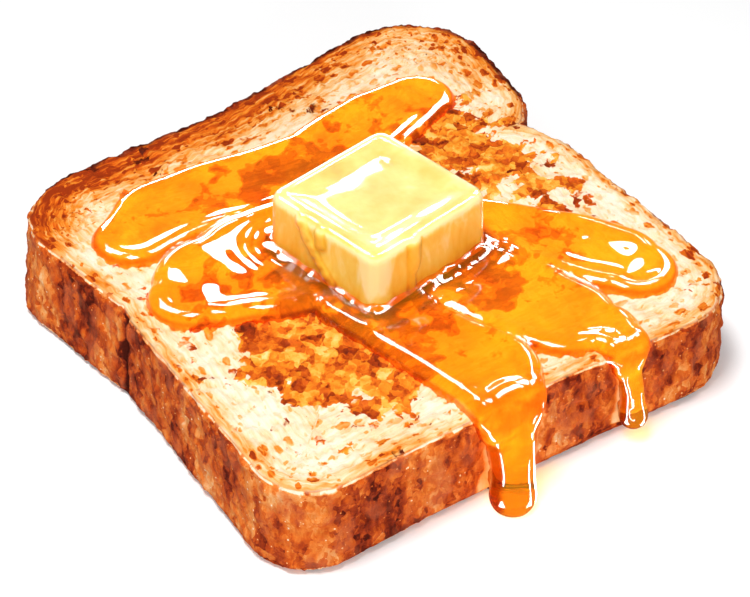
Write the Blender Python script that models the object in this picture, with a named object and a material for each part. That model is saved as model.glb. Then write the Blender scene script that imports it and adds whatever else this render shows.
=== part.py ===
"""Honey toast: a thick slice of toasted tin loaf lies flat, a pat of butter sits on it, and honey runs
round the butter in five tongues, two of which drip over the heel of the slice.

+X runs along the heel, +Y from the heel to the crown, and +Z is up. Sizes are in millimetres, and MM turns
them into Blender's metres. The shapes are laid out round a point between the slice's sides, and the last
step moves them together so that the origin is on the table, under the middle of the whole.
"""

import math

import bmesh
import bpy
import numpy as np
from mathutils import Matrix, Vector, noise

MM = 0.001
CLEARANCE = 0.3  # between two pieces that touch

# The slice
THICKNESS = 23.9
HALF_WIDTH = 60.7
SIDEWAYS = 0.8  # how far right of the layout's middle the body lies
HEEL = -59.6  # where the middle of the heel is
HEEL_BOW = 2.2  # how much further the heel's ends reach than its middle
SHOULDER = 28.0  # top of the straight body, hidden in the crown
HEEL_RADII = (15.0, 18.5)  # left and right
SHOULDER_RADIUS = 22.0
CROWN = [  # circles (x, y, radius) that the crown is drawn round, from its left lobe to its right lobe
    (-37.1, 21.5, 23.7),
    (-44.9, 43.8, 19.7),
    (0.0, 40.7, 25.9),
    (46.3, 55.8, 21.4),
    (43.2, 37.9, 21.7),
]
FLARE, BODY_FLARE = 3.3, 1.4  # how much wider the lobes and the body are at the underside
EDGE_RADIUS = 2.2
RIM_WIDTH, RIM_SLOPE, DISH = 2.0, 6.0, 0.6  # the crumb sinks a little inside the crust's rim
OUTLINE_POINTS = 112
RING_INSETS = (3.4, 5.6)  # rings on top between the rounded edge and the crumb's grid
SIDE_LEVELS = (7.5, 15.0)
CRUST_WAVE, CRUST_WAVE_LENGTH = 0.45, 9.0  # unevenness of the side
CRUMB_WAVE, CRUMB_WAVE_LENGTH = 0.3, 13.0  # unevenness of the top

# The butter
BUTTER_CENTRE = (-0.1, -1.0)
BUTTER_HALF = (18.1, 17.4)
BUTTER_HEIGHT, BUTTER_TURN = 16.2, math.radians(11.8)
BUTTER_CORNER = 3.4  # in plan
BUTTER_TOP_ROUNDING, BUTTER_FOOT_ROUNDING = 2.0, 0.9
BUTTER_SPREAD = 0.7  # how far the softened foot has spread
BUTTER_SAG = 0.8  # how far the middle of the top has sunk
SAG_START, SAG_WIDTH = 2.6, 5.0  # from how far in from the side, and over what distance it sinks
BUTTER_RING_INSETS = (3.2, 5.4)  # rings on top between the rounded edge and the grid
BUTTER_POINTS = 64
BUTTER_LEVELS = (2.6, 4.4, 6.2, 8.0, 9.8, 11.6, 13.0)
TRICKLE_DEPTH, TRICKLE_EDGE = 0.9, 1.5  # how far a trickle stands out, and how far in it does so fully
TRICKLES = {  # on each side of the butter, chains of circles (along the side, height, radius)
    "left": [
        [(-6.4, 16.4, 1.7), (-3.3, 11.1, 2.0), (0.5, 6.7, 1.6), (4.3, 3.2, 1.9)],
        [(0.3, 16.2, 1.5), (0.6, 12.0, 1.7)],
    ],
    "right": [
        [(-5.8, 16.4, 2.4), (-6.2, 10.0, 2.1), (-6.9, 6.5, 1.3), (-7.2, 3.0, 1.6)],
    ],
}

# The honey: each tongue is a chain of circles (x, run, radius, depth). Run is y on top, and past the heel it
# is the distance travelled over the edge and down the side.
HONEY_EDGE = 3.6  # how far in from its border honey reaches its full depth
BURIED = 1.4  # how deep the honey's blank reaches into the slice before it is cut
GRID_STEP = 2.0
SHEET_HALF_WIDTH, SHEET_RUN = 60.0, (-84.0, 56.0)  # the grid that the honey is raised from
BLANK_MARGIN = 2.6
TONGUES = {
    "back": [(-45.3, 32, 9.8, 1.7), (-35, 36.4, 12.6, 1.7), (-22, 36.3, 13, 1.7), (-8, 34.5, 13, 1.7),
             (6, 34.5, 12.5, 1.7), (20, 38.5, 12.6, 1.7), (28, 41, 12, 1.7), (40.5, 43.8, 9.4, 1.7)],
    "left": [(-44, 6.3, 10.3, 2.6), (-36, 8.4, 15.3, 2.6), (-24, 7, 19, 2.6), (-12, 5, 20, 2.6)],
    "large_drip": [(-11, -14, 13, 2.7), (-10.5, -27, 10, 2.9), (-6.5, -39, 10.8, 3.1), (-3.2, -48.5, 12, 3.2),
                   (-4.9, -57, 9.6, 3.2), (-5.1, -61.5, 7.9, 4.2), (-5.3, -66, 6, 4.6), (-5.7, -70, 4.6, 4),
                   (-6, -75, 3.6, 3.2), (-6.2, -80, 3.4, 2.6)],
    "small_drip": [(9, -18, 12, 2.0), (16, -32, 14, 2.0), (21, -43.5, 12.5, 2.0), (26.0, -51.3, 8.2, 2.2),
                   (26.5, -57.5, 6.2, 2.5), (26.4, -62, 4.4, 2.8), (26.7, -66, 3, 2.7), (26.9, -70, 2.2, 2.2),
                   (27, -75, 2, 2)],
    "right": [(22, -4, 9.5, 2.0), (31, -16, 10.8, 2.0), (38, -25.5, 12, 2.0), (42.8, -33, 11.6, 2.0),
              (44.6, -38.4, 9.9, 2.0)],
}
POOL_DEPTH, POOL_REACH, POOL_CORNER = 2.4, 5.0, 9.0  # honey dammed up round the butter
DRIPS = [  # the round end of each drip, from its lowest drop up: chains of balls (x, y, z, radius)
    [(-7.2, -65.0, 2.8, 5.2), (-6.5, -64.0, 6.0, 4.8), (-6.0, -63.0, 10.0, 4.8), (-5.6, -61.2, 14.5, 5.3),
     (-5.2, -58.0, 19.0, 6.2)],
    [(27.1, -62.4, 6.4, 3.4), (27.0, -62.0, 9.5, 2.8), (26.9, -61.4, 13.5, 2.6), (26.6, -60.0, 17.5, 2.9),
     (26.4, -58.5, 20.5, 3.4)],
]
DRIP_SIDES = 18
MENISCUS, MENISCUS_REACH = 1.1, 2.0  # honey climbs the butter's sides


def material(name, colour, roughness, transmission=0.0):
    """A Principled material."""
    made = bpy.data.materials.new(name)
    made.use_nodes = True
    shader = made.node_tree.nodes["Principled BSDF"]
    shader.inputs["Base Color"].default_value = (*colour, 1.0)
    shader.inputs["Roughness"].default_value = roughness
    shader.inputs["Metallic"].default_value = 0.0
    shader.inputs["Transmission Weight"].default_value = transmission
    made.diffuse_color = (*colour, 1.0)
    return made


def chain_field(x, y, chain):
    """How far inside a chain of circles, joined by tapered bands, each point lies."""
    inside = np.full(np.shape(x), -np.inf)
    for (x0, y0, r0), (x1, y1, r1) in zip(chain, chain[1:]):
        across, along = x1 - x0, y1 - y0
        share = ((x - x0) * across + (y - y0) * along) / (across**2 + along**2)
        share = np.clip(share, 0.0, 1.0)
        reach = np.hypot(x - x0 - share * across, y - y0 - share * along)
        inside = np.maximum(inside, r0 + (r1 - r0) * share - reach)
    return inside


def box_field(x, y, half_x, half_y, radius):
    """How far inside a rectangle with round corners, centred on the origin, each point lies."""
    over_x = np.abs(x) - half_x + radius
    over_y = np.abs(y) - half_y + radius
    outside = np.hypot(np.maximum(over_x, 0.0), np.maximum(over_y, 0.0))
    return radius - outside - np.minimum(np.maximum(over_x, over_y), 0.0)


def slice_field(x, y, flare=0.0):
    """How far inside the slice's outline each point lies. Flare is 0 at the top and 1 at the underside."""
    bowed = y + HEEL_BOW * (x / HALF_WIDTH) ** 2 * (y < 0.0)
    middle, half_height = (SHOULDER + HEEL) / 2, (SHOULDER - HEEL) / 2
    radius = np.where(bowed < middle, np.where(x < 0.0, *HEEL_RADII), SHOULDER_RADIUS)
    half_width = HALF_WIDTH + BODY_FLARE * flare
    body = box_field(x - SIDEWAYS, bowed - middle, half_width, half_height, radius)
    lobes = [(cx, cy, radius + FLARE * flare) for cx, cy, radius in CROWN]
    return np.maximum(body, chain_field(x, y, lobes))


def outline(field, centre, count):
    """Evenly spaced points round a shape, found along rays from its middle."""
    angle = np.linspace(0.0, 2 * math.pi, 1441)
    near, far = np.zeros_like(angle), np.full_like(angle, 120.0)
    for _ in range(40):
        reach = (near + far) / 2
        inside = field(centre[0] + reach * np.cos(angle), centre[1] + reach * np.sin(angle)) > 0.0
        near, far = np.where(inside, reach, near), np.where(inside, far, reach)
    x, y = centre[0] + near * np.cos(angle), centre[1] + near * np.sin(angle)
    run = np.concatenate([[0.0], np.cumsum(np.hypot(np.diff(x), np.diff(y)))])
    wanted = np.linspace(0.0, run[-1], count, endpoint=False)
    return np.stack([np.interp(wanted, run, x), np.interp(wanted, run, y)], axis=1)


def outward(points):
    """Unit normals of a closed anticlockwise outline."""
    along = np.roll(points, -1, axis=0) - np.roll(points, 1, axis=0)
    along /= np.linalg.norm(along, axis=1)[:, None]
    return np.stack([along[:, 1], -along[:, 0]], axis=1)


def eased(share):
    """0 to 1 with a flat start and end."""
    share = np.clip(share, 0.0, 1.0)
    return share * share * (3 - 2 * share)


def top_height(inset):
    """Height of the slice's top at this distance in from its outline."""
    return THICKNESS - DISH * eased((inset - RIM_WIDTH) / RIM_SLOPE)


def wave(x, y, z, length, height):
    """Smooth, repeatable unevenness."""
    return height * noise.noise(Vector((x, y, z)) / length)


def crumb_height(x, y):
    """Height of the crumb at one point, with its unevenness, which fades out at the rim."""
    inset = float(slice_field(np.float64(x), np.float64(y)))
    flat = eased((inset - RIM_WIDTH) / RIM_SLOPE)
    return float(top_height(inset)) + float(flat) * wave(x, y, 0.0, CRUMB_WAVE_LENGTH, CRUMB_WAVE)


def rounded_side(height, lower, upper, levels):
    """(height, inset) up a side whose lower and upper edges are rounded, from the underside up."""
    quarter = [math.radians(a) for a in (0, 30, 60, 90)]
    foot = [(lower * (1 - math.cos(a)), lower * (1 - math.sin(a))) for a in quarter]
    head = [(height - upper * (1 - math.sin(a)), upper * (1 - math.cos(a))) for a in quarter]
    return foot + [(level, 0.0) for level in levels] + head


def slice_rings():
    """Rings of points up the slice's skin and in over its top."""
    centre = (0.0, 5.0)
    base = outline(lambda x, y: slice_field(x, y, 1.0), centre, OUTLINE_POINTS)
    top = outline(slice_field, centre, OUTLINE_POINTS)
    sections = rounded_side(THICKNESS, EDGE_RADIUS, EDGE_RADIUS, SIDE_LEVELS)
    sections += [(THICKNESS, inset) for inset in RING_INSETS]
    rings = []
    for z, inset in sections:
        points = base + (top - base) * z / THICKNESS
        ring = []
        for (x, y), (nx, ny) in zip(points, outward(points)):
            on_side = inset <= EDGE_RADIUS
            side = wave(x, y, 2.2 * z, CRUST_WAVE_LENGTH, CRUST_WAVE) if on_side else 0.0
            x, y = x + nx * (side - inset), y + ny * (side - inset)
            ring.append((x, y, z if on_side else crumb_height(x, y)))
        rings.append(ring)
    return rings


def loft(rings, top_height_at):
    """A skin through rings of points, closed by a flat underside and by a grid on top."""
    mesh = bmesh.new()
    skin = [[mesh.verts.new(point) for point in ring] for ring in rings]
    count = len(skin[0])
    for below, above in zip(skin, skin[1:]):
        for i in range(count):
            j = (i + 1) % count
            mesh.faces.new((below[i], below[j], above[j], above[i]))
    mesh.faces.new(list(reversed(skin[0])))
    last = skin[-1]
    edges = [mesh.edges.get((last[i], last[(i + 1) % count])) for i in range(count)]
    quarter = count // 4
    shift = quarter // 2
    edges = edges[shift:] + edges[:shift]
    filled = bmesh.ops.grid_fill(mesh, edges=edges[:quarter] + edges[2 * quarter:3 * quarter])["faces"]
    for vert in {v for face in filled for v in face.verts}:
        vert.co.z = top_height_at(vert.co.x, vert.co.y)
    return mesh


def add_object(name, mesh, collection, finish=None):
    """An object in the collection, made from a bmesh in millimetres."""
    bmesh.ops.scale(mesh, vec=(MM, MM, MM), verts=mesh.verts)
    bmesh.ops.recalc_face_normals(mesh, faces=mesh.faces)
    data = bpy.data.meshes.new(name)
    mesh.to_mesh(data)
    mesh.free()
    data.shade_smooth()
    made = bpy.data.objects.new(name, data)
    if finish:
        data.materials.append(finish)
    collection.objects.link(made)
    return made


def make_slice(collection):
    """The bread, with its crust."""
    mesh = loft(slice_rings(), crumb_height)
    return add_object("toast_slice", mesh, collection, material("toast", (0.78, 0.32, 0.09), 0.8))


def hide_helpers(collection):
    """Cutters and pieces to be joined aren't part of the object."""
    for helper in collection.objects:
        helper.hide_render = True
        helper.display_type = "WIRE"


def apply_boolean(target, operation, tool, solver="EXACT"):
    """Joins or cuts the target with a mesh object, for good."""
    modifier = target.modifiers.new(operation.lower(), "BOOLEAN")
    modifier.operation = operation
    modifier.object = tool
    modifier.solver = solver
    bpy.context.view_layer.update()
    evaluated = target.evaluated_get(bpy.context.evaluated_depsgraph_get())
    shaped = bpy.data.meshes.new_from_object(evaluated)
    target.modifiers.clear()
    shaped.name = target.data.name
    target.data = shaped


def butter_frame(x, y):
    """A point in the butter's own frame, seen from its middle and squared up with its sides."""
    across, along = x - BUTTER_CENTRE[0], y - BUTTER_CENTRE[1]
    cos, sin = math.cos(BUTTER_TURN), math.sin(BUTTER_TURN)
    return across * cos + along * sin, along * cos - across * sin


def butter_field(x, y, grown=BUTTER_SPREAD):
    """How far inside the butter's footprint each point lies."""
    half_x, half_y = BUTTER_HALF
    return box_field(*butter_frame(x, y), half_x + grown, half_y + grown, BUTTER_CORNER)


def trickle_relief(u, v, height):
    """How far melted butter stands out from the side at a point of it."""
    face, along = ("left", -v) if abs(u) > abs(v) else ("right", u)
    if (u if face == "left" else v) > 0.0:
        return 0.0
    inside = max(float(chain_field(along, height, chain)) for chain in TRICKLES[face])
    return TRICKLE_DEPTH * float(eased(inside / TRICKLE_EDGE))


def butter_rings():
    """Rings of points up the butter's sides and in over its top."""
    floor = THICKNESS - DISH + CLEARANCE
    square = outline(lambda x, y: butter_field(x, y, 0.0), BUTTER_CENTRE, BUTTER_POINTS)
    sections = rounded_side(BUTTER_HEIGHT, BUTTER_FOOT_ROUNDING, BUTTER_TOP_ROUNDING, BUTTER_LEVELS)
    sections += [(BUTTER_HEIGHT, inset) for inset in BUTTER_RING_INSETS]
    rings = []
    for z, inset in sections:
        spread = BUTTER_SPREAD * (1 - z / BUTTER_HEIGHT) ** 2
        ring = []
        for (x, y), (nx, ny) in zip(square, outward(square)):
            relief = trickle_relief(*butter_frame(x, y), z) if inset <= BUTTER_TOP_ROUNDING else 0.0
            out = spread + relief - inset
            x, y = x + nx * out, y + ny * out
            ring.append((x, y, floor + z))
        rings.append(ring)
    return rings


def butter_top(x, y):
    """Height of the butter's top, which has softened and sunk in the middle."""
    sunk = BUTTER_SAG * float(eased((butter_field(x, y, 0.0) - SAG_START) / SAG_WIDTH))
    return THICKNESS - DISH + CLEARANCE + BUTTER_HEIGHT - sunk


def make_butter(collection):
    """The pat: a soft-edged block with melted butter running down two sides."""
    mesh = loft(butter_rings(), butter_top)
    return add_object("butter_pat", mesh, collection, material("butter", (0.97, 0.77, 0.22), 0.3))


def pool_field(x, y):
    """How far inside the pool round the butter each point lies."""
    half_x, half_y = BUTTER_HALF
    return box_field(*butter_frame(x, y), half_x + POOL_REACH, half_y + POOL_REACH, POOL_CORNER)


def honey_field(x, run):
    """How far inside the nearest tongue, or the pool, each point lies."""
    tongues = [chain_field(x, run, [circle[:3] for circle in chain]) for chain in TONGUES.values()]
    return np.maximum.reduce([*tongues, pool_field(x, run)])


def lip(inside, width):
    """Height of a honey layer of depth 1, which rises like a quarter of an ellipse from its border."""
    share = np.clip(inside / width, 0.0, 1.0)
    return np.sqrt(share * (2 - share))


def tongue_depth(x, run, chain):
    """Depth of one tongue of honey. Where a tongue is narrow it is round all the way across."""
    depth = np.full(np.shape(x), -np.inf)
    for (x0, y0, r0, d0), (x1, y1, r1, d1) in zip(chain, chain[1:]):
        across, along = x1 - x0, y1 - y0
        share = np.clip(((x - x0) * across + (run - y0) * along) / (across**2 + along**2), 0.0, 1.0)
        radius = r0 + (r1 - r0) * share
        inside = radius - np.hypot(x - x0 - share * across, run - y0 - share * along)
        full = d0 + (d1 - d0) * share
        raised = full * lip(inside, np.minimum(radius, np.maximum(HONEY_EDGE, full)))
        depth = np.maximum(depth, np.where(inside > 0.0, raised, inside))
    return depth


def honey_depth(x, run):
    """Depth of honey on the slice's skin. Outside the honey it is negative, so that the blank dips under."""
    pool = pool_field(x, run)
    depth = np.where(pool > 0.0, POOL_DEPTH * lip(pool, HONEY_EDGE), pool)
    for chain in TONGUES.values():
        depth = np.maximum(depth, tongue_depth(x, run, chain))
    climb = MENISCUS * np.exp(np.minimum(butter_field(x, run), 0.0) / MENISCUS_REACH)
    return depth + climb * (depth > 0.0)


def settle_on_border(verts):
    """Moves the grid's points that lie close to the honey's border onto it, so that the border runs smooth."""
    x = np.array([vert.co.x for vert in verts])
    run = np.array([vert.co.y for vert in verts])
    close = np.abs(honey_field(x, run)) < 0.45 * GRID_STEP
    for _ in range(2):
        inside, nudge = honey_field(x, run), 0.01
        slope_x = (honey_field(x + nudge, run) - honey_field(x - nudge, run)) / (2 * nudge)
        slope_run = (honey_field(x, run + nudge) - honey_field(x, run - nudge)) / (2 * nudge)
        steep = np.maximum(slope_x**2 + slope_run**2, 0.25)
        x, run = x - close * inside * slope_x / steep, run - close * inside * slope_run / steep
    for vert, new_x, new_run in zip(verts, x, run):
        vert.co.x, vert.co.y = new_x, new_run


def skin_point(x, run):
    """(y, z, outward y, outward z) of the slice's skin where honey has travelled this run."""
    start = HEEL + EDGE_RADIUS
    if run > start:
        inset = float(slice_field(np.float64(x), np.float64(run)))
        return run, float(top_height(inset)), 0.0, 1.0
    gone = start - run
    angle = min(gone / EDGE_RADIUS, math.pi / 2)
    out_y, out_z = -math.sin(angle), math.cos(angle)
    fallen = max(0.0, gone - EDGE_RADIUS * math.pi / 2)
    return start + EDGE_RADIUS * out_y, THICKNESS - EDGE_RADIUS + EDGE_RADIUS * out_z - fallen, out_y, out_z


def make_sheet(collection):
    """A sheet bent over the heel, as deep as the tongues say, that dips under the slice's skin at its border."""
    half_x, (run_low, run_high) = SHEET_HALF_WIDTH, SHEET_RUN
    mesh = bmesh.new()
    bmesh.ops.create_grid(
        mesh,
        x_segments=round(2 * half_x / GRID_STEP),
        y_segments=round((run_high - run_low) / GRID_STEP),
        size=1.0,
    )
    bmesh.ops.scale(mesh, vec=(half_x, (run_high - run_low) / 2, 1.0), verts=mesh.verts)
    bmesh.ops.translate(mesh, vec=(0.0, (run_low + run_high) / 2, 0.0), verts=mesh.verts)
    far = [v for v in mesh.verts if honey_field(np.float64(v.co.x), np.float64(v.co.y)) < -BLANK_MARGIN]
    bmesh.ops.delete(mesh, geom=far, context="VERTS")
    settle_on_border(list(mesh.verts))
    lifted = bmesh.ops.extrude_face_region(mesh, geom=mesh.faces[:])["geom"]
    lifted = {g for g in lifted if isinstance(g, bmesh.types.BMVert)}
    for vert in mesh.verts:
        x, run = vert.co.x, vert.co.y
        y, z, out_y, out_z = skin_point(x, run)
        depth = -BURIED
        if vert in lifted:
            depth = max(float(honey_depth(np.float64(x), np.float64(run))), -0.5 * BURIED)
        vert.co = (x, y + out_y * depth, z + out_z * depth)
    return add_object("honey", mesh, collection, material("honey", (0.95, 0.33, 0.01), 0.05, 0.9))


def make_drip(chain, helpers):
    """The round end of a drip: level rings through its balls, closed like a ball at both ends."""
    x, y, z, radius = chain[0]
    end_x, end_y, end_z, end_radius = chain[-1]
    caps = [math.radians(angle) for angle in (15, 40, 65)]
    foot = [(x, y, z - radius * math.cos(a), radius * math.sin(a)) for a in caps]
    head = [(end_x, end_y, end_z + end_radius * math.cos(a), end_radius * math.sin(a)) for a in reversed(caps)]
    turns = [2 * math.pi * i / DRIP_SIDES for i in range(DRIP_SIDES)]
    mesh = bmesh.new()
    rings = []
    for cx, cy, height, reach in foot + chain + head:
        rings.append([mesh.verts.new((cx + reach * math.cos(t), cy + reach * math.sin(t), height)) for t in turns])
    for below, above in zip(rings, rings[1:]):
        for i in range(DRIP_SIDES):
            j = (i + 1) % DRIP_SIDES
            mesh.faces.new((below[i], below[j], above[j], above[i]))
    mesh.faces.new(list(reversed(rings[0])))
    mesh.faces.new(rings[-1])
    return add_object("drip", mesh, helpers)


def make_table(helpers):
    """A block under the slice, which cuts the honey off level with it."""
    mesh = bmesh.new()
    bmesh.ops.create_cube(mesh, size=200.0)
    bmesh.ops.translate(mesh, vec=(0.0, 0.0, -100.0), verts=mesh.verts)
    return add_object("table_cutter", mesh, helpers)


def make_honey(collection, helpers, toast, butter):
    """The sheet and the drips joined, then cut by the table, the slice and the butter."""
    honey = make_sheet(collection)
    for chain in DRIPS:
        apply_boolean(honey, "UNION", make_drip(chain, helpers))
    for cutter in (make_table(helpers), grown_copy(toast, helpers)):
        apply_boolean(honey, "DIFFERENCE", cutter)
    apply_boolean(honey, "DIFFERENCE", grown_copy(butter, helpers), "MANIFOLD")
    drop_slivers(honey)
    return honey


def drop_slivers(piece):
    """Deletes the crumbs of a shape that its cuts left loose, and keeps the rest."""
    mesh = bmesh.new()
    mesh.from_mesh(piece.data)
    islands = []
    waiting = set(mesh.verts)
    while waiting:
        island, front = set(), [waiting.pop()]
        while front:
            vert = front.pop()
            island.add(vert)
            near = {edge.other_vert(vert) for edge in vert.link_edges} & waiting
            waiting -= near
            front.extend(near)
        islands.append(island)
    largest = max(islands, key=len)
    loose = [vert for island in islands if island is not largest for vert in island]
    bmesh.ops.delete(mesh, geom=loose, context="VERTS")
    mesh.to_mesh(piece.data)
    mesh.free()


def grown_copy(piece, helpers):
    """A cutter that is the piece grown by the clearance."""
    cutter = bpy.data.objects.new(piece.name + "_cutter", piece.data.copy())
    helpers.objects.link(cutter)
    grow = cutter.modifiers.new("grow", "DISPLACE")
    grow.strength = CLEARANCE * MM
    grow.mid_level = 0.0
    return cutter


def new_collection(name):
    """A collection in the scene."""
    made = bpy.data.collections.new(name)
    bpy.context.scene.collection.children.link(made)
    return made


def stand_on_origin(pieces):
    """Moves all pieces together until the origin is under the middle of their box."""
    corners = [piece.matrix_world @ Vector(corner) for piece in pieces for corner in piece.bound_box]
    low = Vector(min(corner[axis] for corner in corners) for axis in range(3))
    high = Vector(max(corner[axis] for corner in corners) for axis in range(3))
    to_origin = Matrix.Translation((-(low.x + high.x) / 2, -(low.y + high.y) / 2, -low.z))
    for piece in pieces:
        piece.data.transform(to_origin)


def main():
    for old in list(bpy.data.objects):
        bpy.data.objects.remove(old)
    collection, helpers = new_collection("honey_toast"), new_collection("cutters")
    toast = make_slice(collection)
    butter = make_butter(collection)
    honey = make_honey(collection, helpers, toast, butter)
    hide_helpers(helpers)
    stand_on_origin([toast, butter, honey])


main()
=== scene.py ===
"""Honey toast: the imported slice, butter and honey, dressed as real food, with lights and a camera."""

import math

import bmesh
import bpy
import numpy as np
from mathutils import Matrix, Quaternion, Vector


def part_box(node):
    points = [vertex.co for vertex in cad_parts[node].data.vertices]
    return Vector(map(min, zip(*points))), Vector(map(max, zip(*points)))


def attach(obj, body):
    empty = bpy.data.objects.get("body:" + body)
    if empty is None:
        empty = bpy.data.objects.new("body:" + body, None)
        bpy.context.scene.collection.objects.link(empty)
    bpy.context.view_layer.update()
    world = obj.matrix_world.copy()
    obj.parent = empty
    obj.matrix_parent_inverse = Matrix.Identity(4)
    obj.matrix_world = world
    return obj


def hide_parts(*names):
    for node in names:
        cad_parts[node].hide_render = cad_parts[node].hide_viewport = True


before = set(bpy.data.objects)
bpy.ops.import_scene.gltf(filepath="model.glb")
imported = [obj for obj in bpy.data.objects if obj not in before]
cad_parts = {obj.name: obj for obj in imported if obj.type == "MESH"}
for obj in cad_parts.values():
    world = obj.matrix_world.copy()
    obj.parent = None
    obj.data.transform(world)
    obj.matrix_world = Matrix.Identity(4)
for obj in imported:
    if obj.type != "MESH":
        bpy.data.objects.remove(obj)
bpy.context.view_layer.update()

MM = 0.001

# The slice, as in the model's source (mm)
THICKNESS, HALF_WIDTH, SIDEWAYS, HEEL, HEEL_BOW, SHOULDER = 23.9, 60.7, 0.8, -59.6, 2.2, 28.0
HEEL_RADII, SHOULDER_RADIUS = (15.0, 18.5), 22.0
CROWN = [(-37.1, 21.5, 23.7), (-44.9, 43.8, 19.7), (0.0, 40.7, 25.9), (46.3, 55.8, 21.4), (43.2, 37.9, 21.7)]
FLARE, BODY_FLARE, EDGE_RADIUS, RIM_WIDTH, RIM_SLOPE, DISH = 3.3, 1.4, 2.2, 2.0, 6.0, 0.6

# The butter
BUTTER_CENTRE, BUTTER_HALF, BUTTER_TURN = (-0.1, -1.0), (18.1, 17.4), math.radians(11.8)
BUTTER_CORNER, BUTTER_SPREAD, BUTTER_HEIGHT = 3.4, 0.7, 16.2

TRICKLES = {  # on each side of the butter, chains of circles (along the side, height, radius)
    "left": [[(-6.4, 16.4, 1.7), (-3.3, 11.1, 2.0), (0.5, 6.7, 1.6), (4.3, 3.2, 1.9)],
             [(0.3, 16.2, 1.5), (0.6, 12.0, 1.7)]],
    "right": [[(-5.8, 16.4, 2.4), (-6.2, 10.0, 2.1), (-6.9, 6.5, 1.3), (-7.2, 3.0, 1.6)]],
}

# From the layout of these sizes to the part's frame (mm): the butter lies the same in both
butter_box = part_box("butter_pat")
SHIFT = np.array([(butter_box[0][i] + butter_box[1][i]) / 2 / MM - BUTTER_CENTRE[i] for i in (0, 1)] + [0.0])
BUTTER_TOP = butter_box[1].z / MM

CAMERA_PLACE, CAMERA_TARGET = np.array([-192.5, -298.5, 311.7]) + SHIFT, np.array([3.77, 6.18, 1.3]) + SHIFT
CAMERA_LENS, CAMERA_SENSOR = 96.0, 36.0

# The honey: chains of circles (x, run, radius, depth), where the run goes over the heel and down its wall
TONGUES = {
    "back": [(-45.3, 32, 9.8, 1.7), (-35, 36.4, 12.6, 1.7), (-22, 36.3, 13, 1.7), (-8, 34.5, 13, 1.7),
        (6, 34.5, 12.5, 1.7), (20, 38.5, 12.6, 1.7), (28, 41, 12, 1.7), (40.5, 43.8, 9.4, 1.7)],
    "left": [(-44, 6.3, 10.3, 2.6), (-36, 8.4, 15.3, 2.6), (-24, 7, 19, 2.6), (-12, 5, 20, 2.6)],
    "large_drip": [(-11, -14, 13, 2.7), (-10.5, -27, 10, 2.9), (-6.5, -39, 10.8, 3.1), (-3.2, -48.5, 12, 3.2),
        (-4.9, -57, 9.6, 3.2), (-5.1, -61.5, 7.9, 4.2), (-5.3, -66, 6, 4.6), (-5.7, -70, 4.6, 4),
        (-6, -75, 3.6, 3.2), (-6.2, -80, 3.4, 2.6)],
    "small_drip": [(9, -18, 12, 2.0), (16, -32, 14, 2.0), (21, -43.5, 12.5, 2.0), (26.0, -51.3, 8.2, 2.2),
        (26.5, -57.5, 6.2, 2.5), (26.4, -62, 4.4, 2.8), (26.7, -66, 3, 2.7), (26.9, -70, 2.2, 2.2),
        (27, -75, 2, 2)],
    "right": [(22, -4, 9.5, 2.0), (31, -16, 10.8, 2.0), (38, -25.5, 12, 2.0), (42.8, -33, 11.6, 2.0),
        (44.6, -38.4, 9.9, 2.0)],
}
POOL_DEPTH, POOL_REACH, POOL_CORNER = 2.4, 5.0, 9.0
DRIPS = [  # the round end of each drip, from its lowest drop up: chains of balls (x, y, z, radius)
    [(-7.2, -65, 2.8, 5.2), (-6.5, -64, 6, 4.8), (-6, -63, 10, 4.8), (-5.6, -61.2, 14.5, 5.3),
     (-5.2, -58, 19, 6.2)],
    [(27.1, -62.4, 6.4, 3.4), (27, -62, 9.5, 2.8), (26.9, -61.4, 13.5, 2.6), (26.6, -60, 17.5, 2.9),
     (26.4, -58.5, 20.5, 3.4)],
]
HONEY_EDGE, MENISCUS, MENISCUS_REACH = 3.6, 1.1, 2.0
HONEY_STEP, HONEY_BURIED, BALL_STEP = 0.5, 1.5, 0.5
HONEY_SPAN, HONEY_RUN = 57.0, (-84.0, 56.0)  # the grid that the sheet of honey is cut from

# How fine each piece is (voxel in mm) and how often it is smoothed
TOAST_VOXEL, TOAST_SMOOTHING = 0.56, 10
HONEY_VOXEL, HONEY_SMOOTHING = 0.42, 12
BUTTER_VOXEL, BUTTER_SMOOTHING = 0.4, 6

# Pores: how many are tried, where, how far in from the outline, and the half-lengths of small and large ones
PORE_TRIES, PORE_AREA, PORE_INSET = 5200, ((-66, 68), (-62, 77)), 2.2
SMALL_PORE, LARGE_PORE, SMALL_PORES = (0.7, 1.5), (1.5, 2.3), 0.8

# The look of the bread: (how far toasted, the sRGB colour there)
LEVELS = [
    (0.00, (253, 236, 212)), (0.16, (250, 216, 172)), (0.30, (244, 180, 108)), (0.44, (234, 136, 40)),
    (0.58, (212, 94, 16)), (0.72, (168, 58, 12)), (0.86, (112, 30, 6)), (1.00, (66, 16, 4)),
]
CRUST_LEVELS = [  # the same on the crust
    (0.00, (252, 232, 206)), (0.16, (248, 206, 156)), (0.30, (243, 164, 92)), (0.44, (230, 124, 46)),
    (0.58, (209, 90, 24)), (0.72, (168, 58, 16)), (0.86, (114, 31, 9)), (1.00, (66, 16, 5)),
]
PATCH_LEVELS = [  # where the crumb is toasted in patches
    (0.00, (253, 218, 142)), (0.22, (249, 186, 76)), (0.42, (240, 142, 34)), (0.60, (218, 98, 20)),
    (0.78, (168, 58, 10)), (1.00, (92, 26, 5)),
]
WET_LEVELS = [  # and where honey has soaked it
    (0.00, (252, 222, 164)), (0.25, (240, 194, 116)), (0.50, (204, 142, 60)), (0.72, (158, 92, 30)),
    (1.00, (84, 34, 8)),
]
BUTTER_LEVELS = [  # how deep the yellow is
    (0.00, (254, 238, 168)), (0.22, (245, 214, 98)), (0.50, (240, 190, 56)), (0.78, (226, 146, 24)),
    (1.00, (190, 96, 12)),
]
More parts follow.
